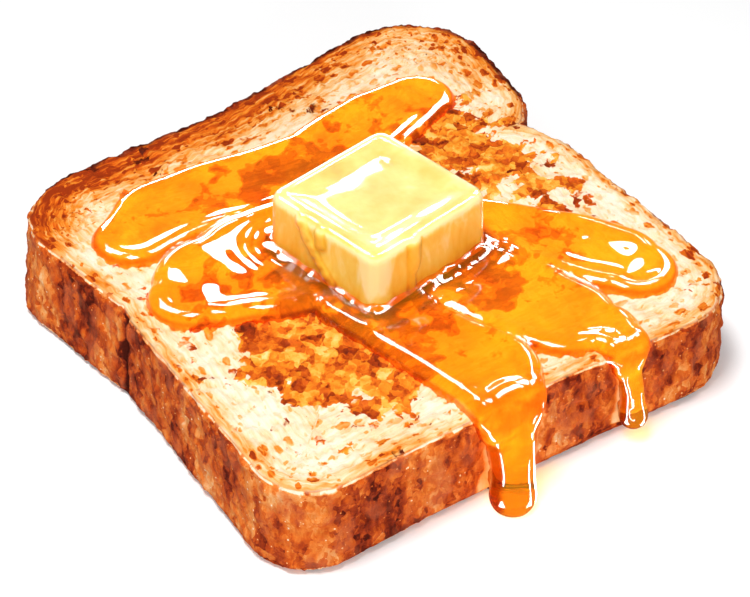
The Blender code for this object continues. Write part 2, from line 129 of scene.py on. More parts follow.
PATCHES = [  # (x, y, half-length along x, along y, turn in degrees, how much more toasted)
    (39, 21, 12, 19, 8, 0.64), (46, 0, 6.5, 9, 0, 0.32), (-30, -21, 16.5, 18, -10, 0.60),
    (-24, -36, 15, 11, 0, 0.48), (-37, -38, 7, 6, 0, 0.16), (-2, 35, 22, 9, 4, 0.54),
    (-30, 33, 8, 6, 4, 0.30), (-38, 38, 9, 7, 0, 0.22), (29, 45, 10, 8, 0, 0.34),
    (-29, 11, 11, 7, 0, 0.50), (-40, 4, 7, 7, 0, 0.44), (-22, -4, 9, 11, 0, 0.46),
    (-8, -26, 8, 11, 0, 0.46), (4, -40, 6, 7, 0, 0.30), (38, -16, 7, 6, -30, 0.34),
    (14, -24, 13, 9, 20, 0.52), (30, -18, 9, 9, 0, 0.36), (27, -34, 7, 6, 0, 0.22),
    (-3, -45, 6, 6, 0, 0.20),
]
CRUST_TONES = [  # (x, y, reach, how much more toasted) on the crust; the paler place on the heel between the drips is painted light, against the shade that the honey casts there
    (-55, -57, 9, -0.22), (-42, -62, 8, 0.12), (8, -62, 13, -0.18), (-61, -26, 14, -0.08),
    (-60, 3, 6, 0.12), (-60, 17, 5, -0.12),
]
NOTCHES = [(-59, 9), (61.5, 13)]  # where the crown's lobes meet the body and the crust creases

BREAD_ATTRIBUTES = "toasting rim far flecked tone pore side inset height crease soaked".split()
IN_PLACE = ("speck", "cell", "small_cell")  # these textures lie in space, all others along the crust
CLOUDS = {  # noise in space: (scale, detail, roughness, distortion)
    "fine": (2.4, 2.0, 0.6),
    "clouds": (0.10, 2.0, 0.5),
    "blots": (0.20, 3.0, 0.6, 0.4),
    "bumps": (1.7, 3.0, 0.65),
}
STROKES = {  # noise along the crust: (scale and reach of its warp, its scales, detail, roughness)
    "streaks": (0.3, 0.8, (0.12, 0.12, 1.1), 2.0, 0.6),
    "strokes": (0.2, 1.2, (0.34, 0.34, 0.13), 3.0, 0.6),
    "broad": (1.0, 0.0, (0.055, 0.055, 0.03), 2.0, 0.5),
    "dashes": (1.0, 0.0, (0.3, 0.3, 0.1), 2.0, 0.6),
    "dust": (1.0, 0.0, (0.2, 0.2, 0.12), 2.0, 0.5),
}
SPOTS = {  # (scale and reach of the warp, scales, largest radius, share of cells, least toasting, its spread)
    "fleck": (0.7, 0.6, (0.22, 0.22, 0.42), 0.48, 0.66, 0.14, 0.28),
    "small_fleck": (0.9, 0.5, (0.45, 0.45, 0.80), 0.46, 0.52, 0.08, 0.22),
    "far_fleck": (0.6, 0.9, (0.21, 0.21, 0.38), 0.52, 0.90, 0.12, 0.30),
    "speck": (1.4, 0.5, (0.85, 0.85, 0.85), 0.50, 0.44, 0.0, 0.16),
    "blob": (0.8, 1.0, (0.42, 0.42, 0.30), 0.45, 0.46, 0.0, 0.24),
    # The dots: pale specks of crust, partly painted glints.
    "dot": (1.0, 0.0, (0.75, 0.75, 0.75), 0.22, 0.70, -0.44, 0.0),
}
MOSAICS = {  # cells of random tone: (scale and reach of the warp, scales)
    "cell": (0.5, 1.0, (0.27, 0.27, 0.27)),
    "small_cell": (0.9, 0.6, (0.55, 0.55, 0.55)),
    "mottle": (0.5, 1.5, (0.36, 0.36, 0.20)),
    "flakes": (1.1, 0.8, (0.8, 0.8, 0.5)),
}
SMALLEST_SPOT, SPOT_SOFTNESS = 0.3, 0.09

# How much each texture moves the colour along the toasting ramps, and the level that it varies about
STREAKS, STREAKS_AT_RIM, FLECKS, FLECKS_AT_RIM = 0.46, 1.5, 0.75, 1.5
# The pores are darker: partly their toasted rims, partly painted shade in the hollows.
PALEST_CRUMB, DARKEST_CRUMB, PORE_TOAST_AND_SHADE, PORE_TOAST_AND_SHADE_IN_PATCH = -0.02, 0.76, 0.12, 0.16
RAGGED_MIX, PATCH_EDGE = {"cell": 0.26, "blots": 0.34, "small_cell_again": 0.18}, (0.17, 0.20)
PATCH_MIDDLE, PATCH_MIX = 0.36, {"cell_again": 0.50, "small_cell_again": 0.36, "blots": 0.70, "fine": 0.14}
CLOUDY_MIX, WET_MIX = {"blots": 0.9, "cell": 0.16}, {"small_cell_again": 0.10, "streaks": 0.26}
CRUST_MIDDLE, DARKEST_CRUST, CRUST_GLOW_UNDER_HONEY = 0.63, 0.97, 0.24
CRUST_MIX = {"strokes": 0.86, "mottle": 0.26, "flakes_again": 0.14, "broad": 1.15, "fine": 0.14}
# The creases are darkened with painted shade.
FOOT, FOOT_DARKENING, CREASE_SHADE, RIM_HIGHLIGHT = (0.14, 0.0), 0.22, 0.42, -0.48
DUST, DUST_COLOUR = 0.40, (192, 102, 66)

# The honey's colours, as light: its body, its drips, the painted shade at its edges and its depth
HONEY_DARK, HONEY_LIGHT = (0.94, 0.24, 0.005, 1.0), (1.0, 0.40, 0.010, 1.0)
# The drips' honey is paler than the sheet's: a painted glow of light through them.
HONEY_DRIP_GLOW = (0.98, 0.66, 0.02, 1.0)
HONEY_EDGE_SHADE, HONEY_DEPTH_COLOUR, HONEY_DENSITY = (0.36, 0.06, 0.001, 1.0), (0.997, 0.83, 0.02, 1.0), 170.0

# The light: the room's, how bright it is in mirrors, and the lights that only shiny pieces mirror
WORLD, MIRRORED_WORLD = 0.33, 0.08
FLOOR_REACH, FLOOR_GLOW = 3.0, 0.12
BOX_REACH, BOX_RADIANCE, STRIP_RADIANCE, WINDOW_REACH = 640.0, 30.0, 45.0, 70.0


def linear(colour):
    """An 8-bit sRGB colour as Blender's linear one."""
    channels = [c / 255 for c in colour]
    return tuple(c / 12.92 if c <= 0.04045 else ((c + 0.055) / 1.055) ** 2.4 for c in channels) + (1.0,)


def eased(share):
    """0 to 1 with a flat start and end."""
    share = np.clip(share, 0.0, 1.0)
    return share * share * (3 - 2 * share)


def bell(distance, reach):
    """1 at no distance, and less and less beyond the reach."""
    return np.exp(-((distance / reach) ** 2))


# ---------------- shapes shared with the model's source


def chain_field(x, y, chain):
    """How far inside a chain of circles, joined by tapered bands, each point lies."""
    inside = np.full(np.shape(x), -np.inf)
    for (x0, y0, r0), (x1, y1, r1) in zip(chain, chain[1:]):
        across, along = x1 - x0, y1 - y0
        share = np.clip(((x - x0) * across + (y - y0) * along) / (across**2 + along**2), 0.0, 1.0)
        reach = np.hypot(x - x0 - share * across, y - y0 - share * along)
        inside = np.maximum(inside, r0 + (r1 - r0) * share - reach)
    return inside


def box_field(x, y, half_x, half_y, radius):
    """How far inside a rectangle with round corners, centred on the origin, each point lies."""
    over_x, over_y = np.abs(x) - half_x + radius, np.abs(y) - half_y + radius
    outside = np.hypot(np.maximum(over_x, 0.0), np.maximum(over_y, 0.0))
    return radius - outside - np.minimum(np.maximum(over_x, over_y), 0.0)


def slice_field(x, y, flare=0.0):
    """How far inside the slice's outline each point lies. Flare is 0 at the top and 1 at the underside."""
    bowed = y + HEEL_BOW * (x / HALF_WIDTH) ** 2 * (y < 0.0)
    middle, half_height = (SHOULDER + HEEL) / 2, (SHOULDER - HEEL) / 2
    radius = np.where(bowed < middle, np.where(x < 0.0, *HEEL_RADII), SHOULDER_RADIUS)
    body = box_field(x - SIDEWAYS, bowed - middle, HALF_WIDTH + BODY_FLARE * flare, half_height, radius)
    return np.maximum(body, chain_field(x, y, CROWN) + FLARE * flare)


def butter_frame(x, y):
    """A point in the butter's own frame."""
    across, along = x - BUTTER_CENTRE[0], y - BUTTER_CENTRE[1]
    cos, sin = math.cos(BUTTER_TURN), math.sin(BUTTER_TURN)
    return across * cos + along * sin, along * cos - across * sin


def butter_field(x, y):
    """How far inside the butter's footprint each point lies."""
    half_x, half_y = BUTTER_HALF
    return box_field(*butter_frame(x, y), half_x + BUTTER_SPREAD, half_y + BUTTER_SPREAD, BUTTER_CORNER)


def pool_field(x, y):
    """How far inside the pool round the butter each point lies."""
    half_x, half_y = BUTTER_HALF
    return box_field(*butter_frame(x, y), half_x + POOL_REACH, half_y + POOL_REACH, POOL_CORNER)


def honey_field(x, run):
    """How far inside the nearest tongue, or the pool, each point lies."""
    tongues = [chain_field(x, run, [circle[:3] for circle in chain]) for chain in TONGUES.values()]
    return np.maximum.reduce([*tongues, pool_field(x, run)])


# ---------------- noise in Python


class Ripple:
    """Smooth seeded noise of about unit height, made of sine waves in random directions."""

    def __init__(self, seed, size, dimensions=3, waves=24):
        rng = np.random.default_rng(seed)
        direction = rng.normal(size=(waves, dimensions))
        direction /= np.linalg.norm(direction, axis=1)[:, None]
        self.pull = direction * (2 * math.pi / size) * rng.uniform(0.6, 1.6, waves)[:, None]
        self.phase = rng.uniform(0.0, 2 * math.pi, waves)

    def __call__(self, *coordinates):
        total = np.zeros(np.shape(coordinates[0]))
        for pull, phase in zip(self.pull, self.phase):
            total += np.sin(sum(p * c for p, c in zip(pull, coordinates)) + phase)
        return total * math.sqrt(2.0 / len(self.phase))


# ---------------- meshes


def read_raw(data):
    """A mesh's points as they are stored."""
    points = np.empty(len(data.vertices) * 3)
    data.vertices.foreach_get("co", points)
    return points.reshape(-1, 3)


def read_points(data):
    """A mesh's points in the layout, in mm."""
    return read_raw(data) / MM - SHIFT


def write_points(data, points):
    """The reverse of read_points."""
    data.vertices.foreach_set("co", ((points + SHIFT) * MM).ravel())
    data.update()


def read_normals(data):
    """A mesh's point normals."""
    normals = np.empty(len(data.vertices) * 3)
    data.vertex_normals.foreach_get("vector", normals)
    return normals.reshape(-1, 3)


def add_attributes(data, **values):
    """Numbers or vectors that the material reads at each point, by name."""
    for name, found in values.items():
        kind, key = ("FLOAT", "value") if np.ndim(found) == 1 else ("FLOAT_VECTOR", "vector")
        attribute = data.attributes.new(name, kind, "POINT")
        attribute.data.foreach_set(key, np.ascontiguousarray(found, dtype=np.float32).ravel())


def add_object(name, data):
    """A new object in the scene."""
    made = bpy.data.objects.new(name, data)
    bpy.context.scene.collection.objects.link(made)
    return made


def copy_of_node(node, name):
    """A new object with a welded copy of a CAD node's mesh."""
    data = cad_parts[node].data.copy()
    data.name = name
    mesh = bmesh.new()
    mesh.from_mesh(data)
    bmesh.ops.remove_doubles(mesh, verts=mesh.verts, dist=1e-6)
    mesh.to_mesh(data)
    mesh.free()
    data.materials.clear()
    return add_object(name, data)


def refine(piece, voxel, smoothing):
    """Gives a piece an even, fine and smoothed mesh (voxel in mm)."""
    remesh, smooth = piece.modifiers.new("remesh", "REMESH"), piece.modifiers.new("smooth", "SMOOTH")
    remesh.mode, remesh.voxel_size, remesh.adaptivity = "VOXEL", voxel * MM, 0.0
    smooth.factor, smooth.iterations = 0.5, smoothing
    bpy.context.view_layer.update()
    evaluated = piece.evaluated_get(bpy.context.evaluated_depsgraph_get())
    data = bpy.data.meshes.new_from_object(evaluated)
    piece.modifiers.clear()
    old = piece.data
    piece.data = data
    bpy.data.meshes.remove(old)


# ---------------- the bread


def crust_line(count=640):
    """(points, arc lengths, whole length) of the outline of the slice halfway up."""
    angle = np.linspace(0.0, 2 * math.pi, 1441)
    near, far = np.zeros_like(angle), np.full_like(angle, 120.0)
    for _ in range(30):
        reach = (near + far) / 2
        inside = slice_field(reach * np.cos(angle), 5.0 + reach * np.sin(angle), 0.5) > 0.0
        near, far = np.where(inside, reach, near), np.where(inside, far, reach)
    x, y = near * np.cos(angle), 5.0 + near * np.sin(angle)
    run = np.concatenate([[0.0], np.cumsum(np.hypot(np.diff(x), np.diff(y)))])
    wanted = np.linspace(0.0, run[-1], count, endpoint=False)
    return np.stack([np.interp(wanted, run, x), np.interp(wanted, run, y)], axis=1), wanted, run[-1]


def crust_run(x, y):
    """(arc length along the crust of its nearest point, the crust's whole length) for each point."""
    line, run, whole = crust_line()
    nearest = np.empty(len(x), dtype=int)
    for start in range(0, len(x), 8192):
        part = slice(start, start + 8192)
        apart = (x[part, None] - line[None, :, 0]) ** 2 + (y[part, None] - line[None, :, 1]) ** 2
        nearest[part] = apart.argmin(axis=1)
    before, after = line[nearest - 1], line[(nearest + 1) % len(line)]
    along = after - before
    along /= np.linalg.norm(along, axis=1)[:, None]
    offset = (x - line[nearest, 0]) * along[:, 0] + (y - line[nearest, 1]) * along[:, 1]
    return run[nearest] + np.clip(offset, -1.0, 1.0), whole


def patch_level(x, y):
    """How much more toasted each point of the top is, from the patches."""
    wobble_x = 3.2 * Ripple(11, 14.0, 2)(x, y) + 1.3 * Ripple(12, 5.0, 2)(x, y)
    wobble_y = 3.2 * Ripple(13, 14.0, 2)(x, y) + 1.3 * Ripple(14, 5.0, 2)(x, y)
    level = np.zeros_like(x)
    for cx, cy, half_x, half_y, turn, more in PATCHES:
        cos, sin = math.cos(math.radians(turn)), math.sin(math.radians(turn))
        dx, dy = x + wobble_x - cx, y + wobble_y - cy
        u, v = (dx * cos + dy * sin) / half_x, (dy * cos - dx * sin) / half_y
        level = np.maximum(level, more * eased((1.25 - np.hypot(u, v)) / 0.55))
    return level


def pores(x, y, top):
    """(depth, darkness) from pores in the crumb: small hollows that lie along the crust near it. The darkness
    is partly the pores' toasted rims and partly painted shade in the hollows.
    """
    rng = np.random.default_rng(5)
    depth, dark = np.zeros_like(x), np.zeros_like(x)
    taken = []
    order = np.argsort(x)
    sorted_x = x[order]
    nudge = 0.5
    for _ in range(PORE_TRIES):
        cx, cy = rng.uniform(*PORE_AREA[0]), rng.uniform(*PORE_AREA[1])
        here = float(slice_field(np.float64(cx), np.float64(cy)))
        if here < PORE_INSET:
            continue
        length = rng.uniform(*SMALL_PORE) if rng.random() < SMALL_PORES else rng.uniform(*LARGE_PORE)
        width = length * rng.uniform(0.38, 0.7)
        if any((cx - px) ** 2 + (cy - py) ** 2 < (0.75 * (length + pr)) ** 2 for px, py, pr in taken):
            continue
        taken.append((cx, cy, length))
        right, left = slice_field(np.array([cx + nudge, cx - nudge]), np.full(2, cy))
        up, down = slice_field(np.full(2, cx), np.array([cy + nudge, cy - nudge]))
        lie = math.atan2(right - left, down - up) + rng.normal(0.0, 0.35 if here < 16 else 1.0)
        first, last = np.searchsorted(sorted_x, [cx - 1.4 * length, cx + 1.4 * length])
        near = order[first:last]
        near = near[np.abs(y[near] - cy) < 1.4 * length]
        dx, dy = x[near] - cx, y[near] - cy
        u = (dx * math.cos(lie) + dy * math.sin(lie)) / length
        v = (dy * math.cos(lie) - dx * math.sin(lie)) / width
        reach = np.hypot(u, v) + 0.16 * np.sin(3 * np.arctan2(v, u) + rng.uniform(0, 6.3))
        deep = rng.uniform(0.25, 0.62) * min(1.0, length)
        depth[near] = np.maximum(depth[near], deep * eased(1.25 * (1.0 - reach)))
        dark[near] = np.maximum(dark[near], rng.uniform(0.35, 1.0) * eased((1.05 - reach) / 0.4))
    return depth * top, dark * top


def crease_level(run, inset):
    """1 in the creases where the crown's lobes meet the body."""
    crease = np.zeros_like(run)
    for notch_x, notch_y in NOTCHES:
        notch_run = crust_run(np.array([notch_x]), np.array([notch_y]))[0][0]
        crease = np.maximum(crease, bell(run - notch_run, 1.1) * bell(np.maximum(inset, 0.0), 1.6))
    return crease


def rim_level(x, y, z, inset, far):
    """How much more toasted the top is near its rim, most of all on the crown; round the butter it is darker
    with painted shade.
    """
    back = eased((y + 0.15 * np.abs(x) - 40.0) / 16.0)
    rim = (0.19 - 0.06 * back) * bell(inset - 2.0, 1.9)
    back *= 1 - 0.55 * eased((x - 20.0) / 25.0) + 0.38 * eased((-x - 5.0) / 25.0)
    rim += (0.08 * far + 0.32 * back) * bell(np.maximum(inset - 3.0, 0.0), 11.0)
    rim = np.minimum(rim + 0.04 * np.exp(-inset / 7.0), 0.50)
    apart = -box_field(*butter_frame(x, y), *BUTTER_HALF, BUTTER_CORNER)
    # Painted shade at the butter's foot, fading outwards, with a thin ring of it under the honey's ridge.
    ring = 0.55 * bell(apart - 0.8, 1.5) + 0.14 * np.exp(-np.maximum(apart, 0.0) / 5.0)
    ring += 0.20 * bell(apart - 5.2, 0.5) * eased(0.5 + 1.2 * Ripple(27, 14.0)(x, y, z))
    return rim * (apart > 8.0) + ring


def make_bread():
    """The slice: a fine copy of its solid, with pores, a wrinkled crust, and the record of its toasting and
    of the light and shade painted on it.
    """
    piece = copy_of_node("toast_slice", "bread")
    refine(piece, TOAST_VOXEL, TOAST_SMOOTHING)
    data = piece.data
    points, normals = read_points(data), read_normals(data)
    x, y, z = points.T
    inset = slice_field(x, y, 1 - z / THICKNESS)
    run, whole = crust_run(x, y)
    top = eased((normals[:, 2] - 0.2) / 0.6) * (z > THICKNESS / 2)
    under = eased((-normals[:, 2] - 0.2) / 0.6) * (z < THICKNESS / 2)
    side = np.clip(1.0 - top - under, 0.0, 1.0)

    # where each point lies round a circle as long as the outline, and down or in from its rim
    radius = whole / (2 * math.pi)
    down = np.where(z > THICKNESS - 3.0, np.maximum(inset, 0.0), 0.0) - (THICKNESS - z) * side
    turn = run / radius
    across, along = radius * np.cos(turn), radius * np.sin(turn)

    hole, dark = pores(x, y, top)
    crumb = eased((inset - 2.0) / 2.0)
    grain = 0.10 * Ripple(21, 2.2)(x, y, z) + 0.06 * Ripple(22, 1.3, 3, 32)(x, y, z)
    grain += 0.16 * Ripple(23, 5.0)(x, y, z)
    wrinkle = 0.17 * Ripple(24, 6.0)(across, along, 1.6 * down)
    wrinkle += 0.10 * Ripple(25, 2.6)(across, along, 0.7 * down)
    wrinkle += 0.05 * Ripple(26, 1.3, 3, 32)(across, along, down)
    crease = crease_level(run, inset)
    lift = top * crumb * (grain - hole) + (side + top * (1 - crumb)) * (wrinkle - 0.9 * crease)
    moved = points + normals * (lift - 0.12 * (1 - under))[:, None]
    moved[:, 2] = np.maximum(moved[:, 2], 0.0)
    write_points(data, moved)

    far = eased((y + 0.25 * x - 34.0) / 24.0)
    flecked = eased((y + 0.25 * x - 30.0) / 18.0) * bell(np.maximum(inset - 5.0, 0.0), 9.0)
    right = 1.2 * eased((x - 34.0) / 14.0) * bell(np.maximum(inset - 3.0, 0.0), 5.0)
    skin = side + top * (1 - eased((inset - 0.5 - 1.3 * far) / 0.7)) + under * (1 - eased(inset - 1.5))
    tone = sum(more * bell(np.hypot(x - cx, y - cy), reach) for cx, cy, reach, more in CRUST_TONES)
    add_attributes(
        data, flecked=np.maximum(flecked, right), tone=tone, toasting=patch_level(x, y) * crumb * top,
        rim=rim_level(x, y, z, inset, far) * top, far=far, pore=dark, side=skin, inset=inset,
        height=z / THICKNESS, crease=crease, soaked=under_honey_level(x, y, z, side, under),
        flow=np.stack([across, along, down], axis=1), place=points,
    )
    data.shade_smooth()
    thin_underside(piece)
    return piece


def under_honey_level(x, y, z, side, under):
    """1 where honey lies on the slice's skin, and 0 outside it. Under it the crumb is soaked golden, and the
    crust is painted paler, a painted glow of light through the honey.
    """
    start = HEEL + EDGE_RADIUS
    turned = start - EDGE_RADIUS * np.arctan2(start - y, np.maximum(z - THICKNESS + EDGE_RADIUS, 1e-3))
    fallen = start - EDGE_RADIUS * math.pi / 2 - (THICKNESS - EDGE_RADIUS - z)
    on_edge = (y < start) & (z > THICKNESS - EDGE_RADIUS)
    on_top = (y >= start + 0.5) | (y >= start) & (z > THICKNESS - 0.5)
    reach = honey_field(x, np.where(on_edge, turned, np.where(on_top, y, fallen)))
    for chain in DRIPS:
        cx, _, heights, radii = np.array(chain).T
        width = np.interp(z, heights, radii) + 1.0 - np.abs(x - np.interp(z, heights, cx))
        behind = (y < start) & (z > heights[0] - radii[0]) & (z < heights[-1])
        reach = np.where(behind, np.maximum(reach, width), reach)
    reach = np.where((side > 0.5) & (y > start + 0.5) | (under > 0.5), -9.0, reach)
    return eased(reach / 1.2)


def thin_underside(piece):
    """Joins the faces of the flat underside, which needs few."""
    mesh = bmesh.new()
    mesh.from_mesh(piece.data)
    low = {v for v in mesh.verts if v.co.z < 0.00004}
    faces = [face for face in mesh.faces if all(v in low for v in face.verts)]
    if faces:
        bmesh.ops.dissolve_faces(mesh, faces=faces)
    mesh.to_mesh(piece.data)
    mesh.free()


# ---------------- the honey


def top_height(inset):
    """Height of the slice's top at this distance in from its outline."""
    return THICKNESS - DISH * eased((inset - RIM_WIDTH) / RIM_SLOPE)


def skin_points(x, run):
    """(y, z, outward y, outward z) of the slice's skin where honey has travelled this run."""
    start = HEEL + EDGE_RADIUS
    gone = np.maximum(start - run, 0.0)
    angle = np.minimum(gone / EDGE_RADIUS, math.pi / 2)
    fallen = np.maximum(0.0, gone - EDGE_RADIUS * math.pi / 2)
    over = run <= start
    out_y, out_z = -np.sin(angle), np.cos(angle)
    y = np.where(over, start + EDGE_RADIUS * out_y, run)
    bent = THICKNESS - EDGE_RADIUS + EDGE_RADIUS * out_z - fallen
    z = np.where(over, bent, top_height(slice_field(x, run)))
    return y, z, out_y, out_z


def soft_max(first, second, softness):
    """The larger of two heights, with the crease between them rounded."""
    blend = np.clip(0.5 + 0.5 * (first - second) / softness, 0.0, 1.0)
    return second + (first - second) * blend + softness * blend * (1 - blend)


def lip(inside, width):
    """Height of a honey layer of depth 1, which rises like a quarter of an ellipse from its border."""
    share = np.clip(inside / width, 0.0, 1.0)
    return np.sqrt(share * (2 - share))


def tongue_depth(x, run, chain):
    """Depth of one tongue of honey. Where a tongue is narrow it is round all the way across."""
    depth = np.full(np.shape(x), -9.0)
    for (x0, y0, r0, d0), (x1, y1, r1, d1) in zip(chain, chain[1:]):
        across, along = x1 - x0, y1 - y0
        share = np.clip(((x - x0) * across + (run - y0) * along) / (across**2 + along**2), 0.0, 1.0)
        radius = r0 + (r1 - r0) * share
        inside = radius - np.hypot(x - x0 - share * across, run - y0 - share * along)
        full = d0 + (d1 - d0) * share
        raised = full * lip(inside, np.minimum(radius, np.maximum(HONEY_EDGE, full)))
        depth = np.maximum(depth, np.where(inside > 0.0, raised, inside))
    return depth


def honey_depth(x, run):
    """Depth of honey on the slice's skin, negative outside it."""
    pool = pool_field(x, run)
    depth = np.where(pool > 0.0, POOL_DEPTH * lip(pool, HONEY_EDGE), pool)
    for chain in TONGUES.values():
        depth = soft_max(depth, tongue_depth(x, run, chain), 0.3)
    border = honey_field(x, run)
    depth = np.where(border > 0.0, depth - 0.075 * (1 - eased(border / 0.6)), np.maximum(border, -0.9))
    body = eased(border / 3.0)
    apart = butter_field(x, run)
    climb = MENISCUS * np.exp(np.minimum(apart, 0.0) / MENISCUS_REACH)
    climb = climb * (0.85 + 0.22 * Ripple(33, 6.0, 2)(x, run))
    ring = 0.30 * bell(apart + 5.4, 1.4) * eased((run + 34.0) / 8.0)
    swell = 0.10 * Ripple(31, 17.0, 2)(x, run)
    raised = 0.34 * bell(border - 3.0, 1.5) - 0.22 * eased((border - 3.6) / 5.0)
    return depth + body * (climb + ring + swell) + raised * eased((run + 64.0) / 6.0) * (border > 0.0)


def honey_grid():
    """(x, run, quads) of a grid cut along the honey's border."""
    columns = np.arange(-HONEY_SPAN, HONEY_SPAN + 0.01, HONEY_STEP)
    rows = np.arange(HONEY_RUN[0], HONEY_RUN[1] + 0.01, HONEY_STEP)
    x, run = np.meshgrid(columns, rows, indexing="ij")
    shape = x.shape
    x, run = x.ravel(), run.ravel()
    close = np.abs(honey_field(x, run)) < 0.45 * HONEY_STEP
    nudge = 0.01
    for _ in range(3):
        inside = honey_field(x, run)
        slope_x = (honey_field(x + nudge, run) - honey_field(x - nudge, run)) / (2 * nudge)
        slope_run = (honey_field(x, run + nudge) - honey_field(x, run - nudge)) / (2 * nudge)
        steep = np.maximum(slope_x**2 + slope_run**2, 0.25)
        x, run = x - close * inside * slope_x / steep, run - close * inside * slope_run / steep
    keep = (honey_field(x, run) > -0.8).reshape(shape)
    index = np.arange(x.size).reshape(shape)
    whole = keep[:-1, :-1] & keep[1:, :-1] & keep[1:, 1:] & keep[:-1, 1:]
    quads = np.stack([index[:-1, :-1], index[1:, :-1], index[1:, 1:], index[:-1, 1:]], axis=-1)[whole]
    used = np.unique(quads)
    renumber = np.full(x.size, -1)
    renumber[used] = np.arange(len(used))
    return x[used], run[used], renumber[quads]


def honey_shell():
    """A closed sheet of honey on the slice's skin and sunk into it, and the balls of the drips (mm)."""
    x, run, quads = honey_grid()
    y, z, out_y, out_z = skin_points(x, run)
    depth = honey_depth(x, run)
    upper = np.stack([x, y + out_y * depth, z + out_z * depth], axis=1)
    lower = np.stack([x, y - out_y * HONEY_BURIED, z - out_z * HONEY_BURIED], axis=1)
    mesh = bmesh.new()
    tops = [mesh.verts.new(point) for point in upper]
    bottoms = [mesh.verts.new(point) for point in lower]
    for quad in quads:
        mesh.faces.new([tops[i] for i in quad])
        mesh.faces.new([bottoms[i] for i in reversed(quad)])
    sides = dict.fromkeys((quad[k], quad[(k + 1) % 4]) for quad in quads for k in range(4))
    for a, b in sides:
        if (b, a) not in sides:
            mesh.faces.new((bottoms[a], bottoms[b], tops[b], tops[a]))
    for chain in DRIPS:
        cx, cy, heights, radii = np.array(chain).T
        for z in np.arange(heights[0], heights[-1], BALL_STEP):
            place = Matrix.Translation((np.interp(z, heights, cx), np.interp(z, heights, cy), z))
            radius = np.interp(z, heights, radii)
            bmesh.ops.create_icosphere(mesh, subdivisions=3, radius=radius, matrix=place)
    bmesh.ops.recalc_face_normals(mesh, faces=mesh.faces)
    data = bpy.data.meshes.new("honey_flow")
    mesh.to_mesh(data)
    mesh.free()
    return data


def make_honey():
    """One body of honey, sunk into the bread's pores and up to the butter, with no gap under it."""
    data = honey_shell()
    write_points(data, read_raw(data))
    piece = add_object("honey_flow", data)
    refine(piece, HONEY_VOXEL, HONEY_SMOOTHING)
    data = piece.data
    points = read_points(data)
    points[:, 2] = np.maximum(points[:, 2], 0.02)
    write_points(data, points)
    x, y, z = points.T
    above, before = np.maximum(z - THICKNESS, 0.0), np.maximum(-slice_field(x, y, 1 - z / THICKNESS), 0.0)
    gap = np.hypot(above, before)
    normals, drip = read_normals(data), eased((THICKNESS - 1.5 - z) / 4.0)
    # Painted shade: dark where the honey meets the bread, and on the drips' faces that turn sideways or down.
    turned = np.maximum(np.abs(normals[:, 0]) - 0.06, -normals[:, 2] + 0.35)
    edge = np.maximum(1 - eased((gap - 0.35) / 0.7), drip * eased((turned - 0.70) / 0.18))
    add_attributes(data, edge=edge, drip=drip, place=points)
    data.shade_smooth()
    return piece


# ---------------- the butter


def trickle_field(x, y, z):
    """How far inside the melted trickles on the butter's two near sides each point lies."""
    across, along = butter_frame(x, y)
    on_left = np.abs(across) > np.abs(along)
    height = z - THICKNESS + DISH
    left = np.max([chain_field(-along, height, chain) for chain in TRICKLES["left"]], axis=0)
    right = np.max([chain_field(across, height, chain) for chain in TRICKLES["right"]], axis=0)
    near = np.where(on_left, across, along) < 0.0
    return np.where(near, np.where(on_left, left, right), -9.0)


def make_butter():
    """The pat: its solid made fine and soft, with the faint unevenness of melting butter."""
    piece = copy_of_node("butter_pat", "butter")
    refine(piece, BUTTER_VOXEL, BUTTER_SMOOTHING)
    data = piece.data
    points, normals = read_points(data), read_normals(data)
    x, y, z = points.T
    inside, upright = trickle_field(x, y, z), 1 - eased((normals[:, 2] - 0.25) / 0.5)
    swell = (0.012 + 0.038 * upright) * Ripple(41, 12.0)(x, y, z)
    swell += 0.32 * eased((inside - 0.1) / 0.6) * upright
    moved = points + normals * (swell - 0.05)[:, None]
    moved[:, 2] = np.minimum(moved[:, 2] - 0.25 * (z < THICKNESS + 1.0), BUTTER_TOP)
    write_points(data, moved)

    base = THICKNESS + POOL_DEPTH
    sunk = 1 - np.clip((z - base) / (BUTTER_TOP - base), 0.0, 1.0)
    across, along = butter_frame(x, y)
    inset = box_field(across, along, *BUTTER_HALF, BUTTER_CORNER)
    # Pale bands along the top edges and down the near corner: painted highlights.
    corner = np.clip(1 - np.hypot(across + BUTTER_HALF[0], along + BUTTER_HALF[1]) / 6.0, 0.0, 1.0)
    edge = bell(z - BUTTER_TOP + 0.9, 1.0) * bell(inset, 2.2)
    add_attributes(
        data, trickle=eased((inside + 0.2) / 0.5), outline=bell(inside + 0.05, 0.32) * upright,
        melt=upright * (0.25 + 0.75 * sunk), rim=np.maximum(edge, eased(1.6 * corner) * upright),
        place=points,
    )
    data.shade_smooth()
    return piece


# ---------------- materials


